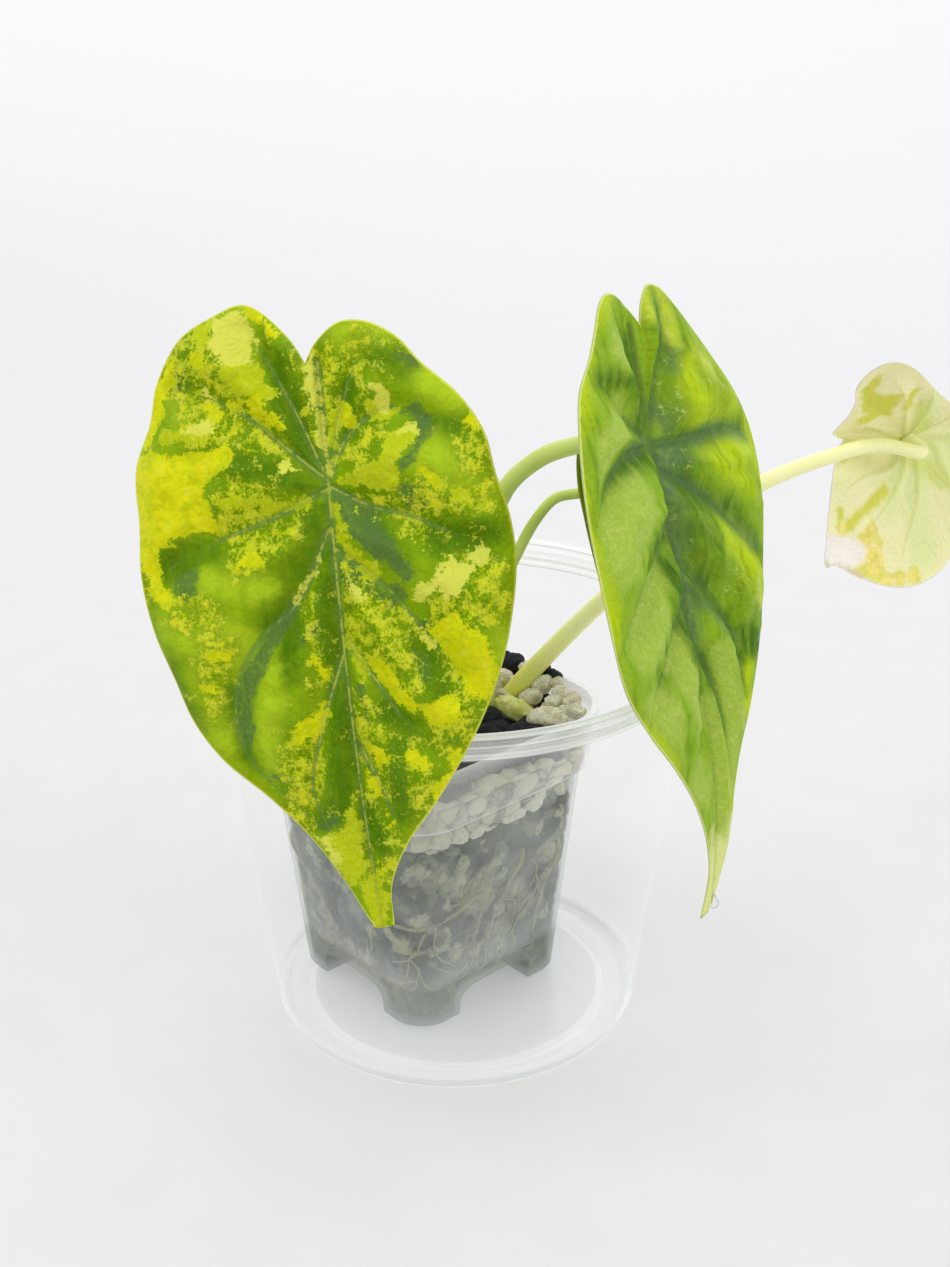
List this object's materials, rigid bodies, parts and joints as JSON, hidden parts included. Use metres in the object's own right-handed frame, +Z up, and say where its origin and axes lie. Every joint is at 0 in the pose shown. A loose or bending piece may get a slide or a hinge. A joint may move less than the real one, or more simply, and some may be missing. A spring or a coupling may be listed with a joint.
{
  "type": "potted foliage plant",
  "caption": "Variegated dragon scale alocasia with puckered leaves, in a square clear nursery pot of pumice and lava mix, stood inside a round clear cover cup.",
  "frame": {"origin": "middle of the underside of the whole object's box", "axes": "+Z up; +X towards the leaf on the far right, along the longest extent; -Y towards the front leaf and the viewer"},
  "size_m": [0.2228, 0.1418, 0.185],
  "materials": {
    "cover_cup": "clear, thin, glossy",
    "nursery_pot": "clear, slightly clouded",
    "mix_lava_lower": "rough dark lava grit with pale grains",
    "mix_pumice_upper": "rough pale pumice",
    "mix_lava_top": "rough black lava",
    "rhizome": "matte pale root",
    "stem": "smooth, pale yellow-green, finely mottled",
    "leaf_front": "satin, green with yellow variegation",
    "leaf_right": "satin, green, strongly puckered",
    "leaf_far_right": "satin, cream and pale green underside",
    "leaf_hidden": "satin, dark green"
  },
  "bodies": {
    "root": {"cover_cup": "cover_cup", "nursery_pot": "nursery_pot", "mix_lava_lower": "mix_lava_lower", "mix_pumice_upper": "mix_pumice_upper", "mix_lava_top": "mix_lava_top", "rhizome": "rhizome", "stem_front": "stem", "stem_right": "stem", "stem_far_right": "stem", "stem_hidden": "stem", "leaf_front": "leaf_front", "leaf_right": "leaf_right", "leaf_far_right": "leaf_far_right", "leaf_hidden": "leaf_hidden"}
  },
  "joints": []
}
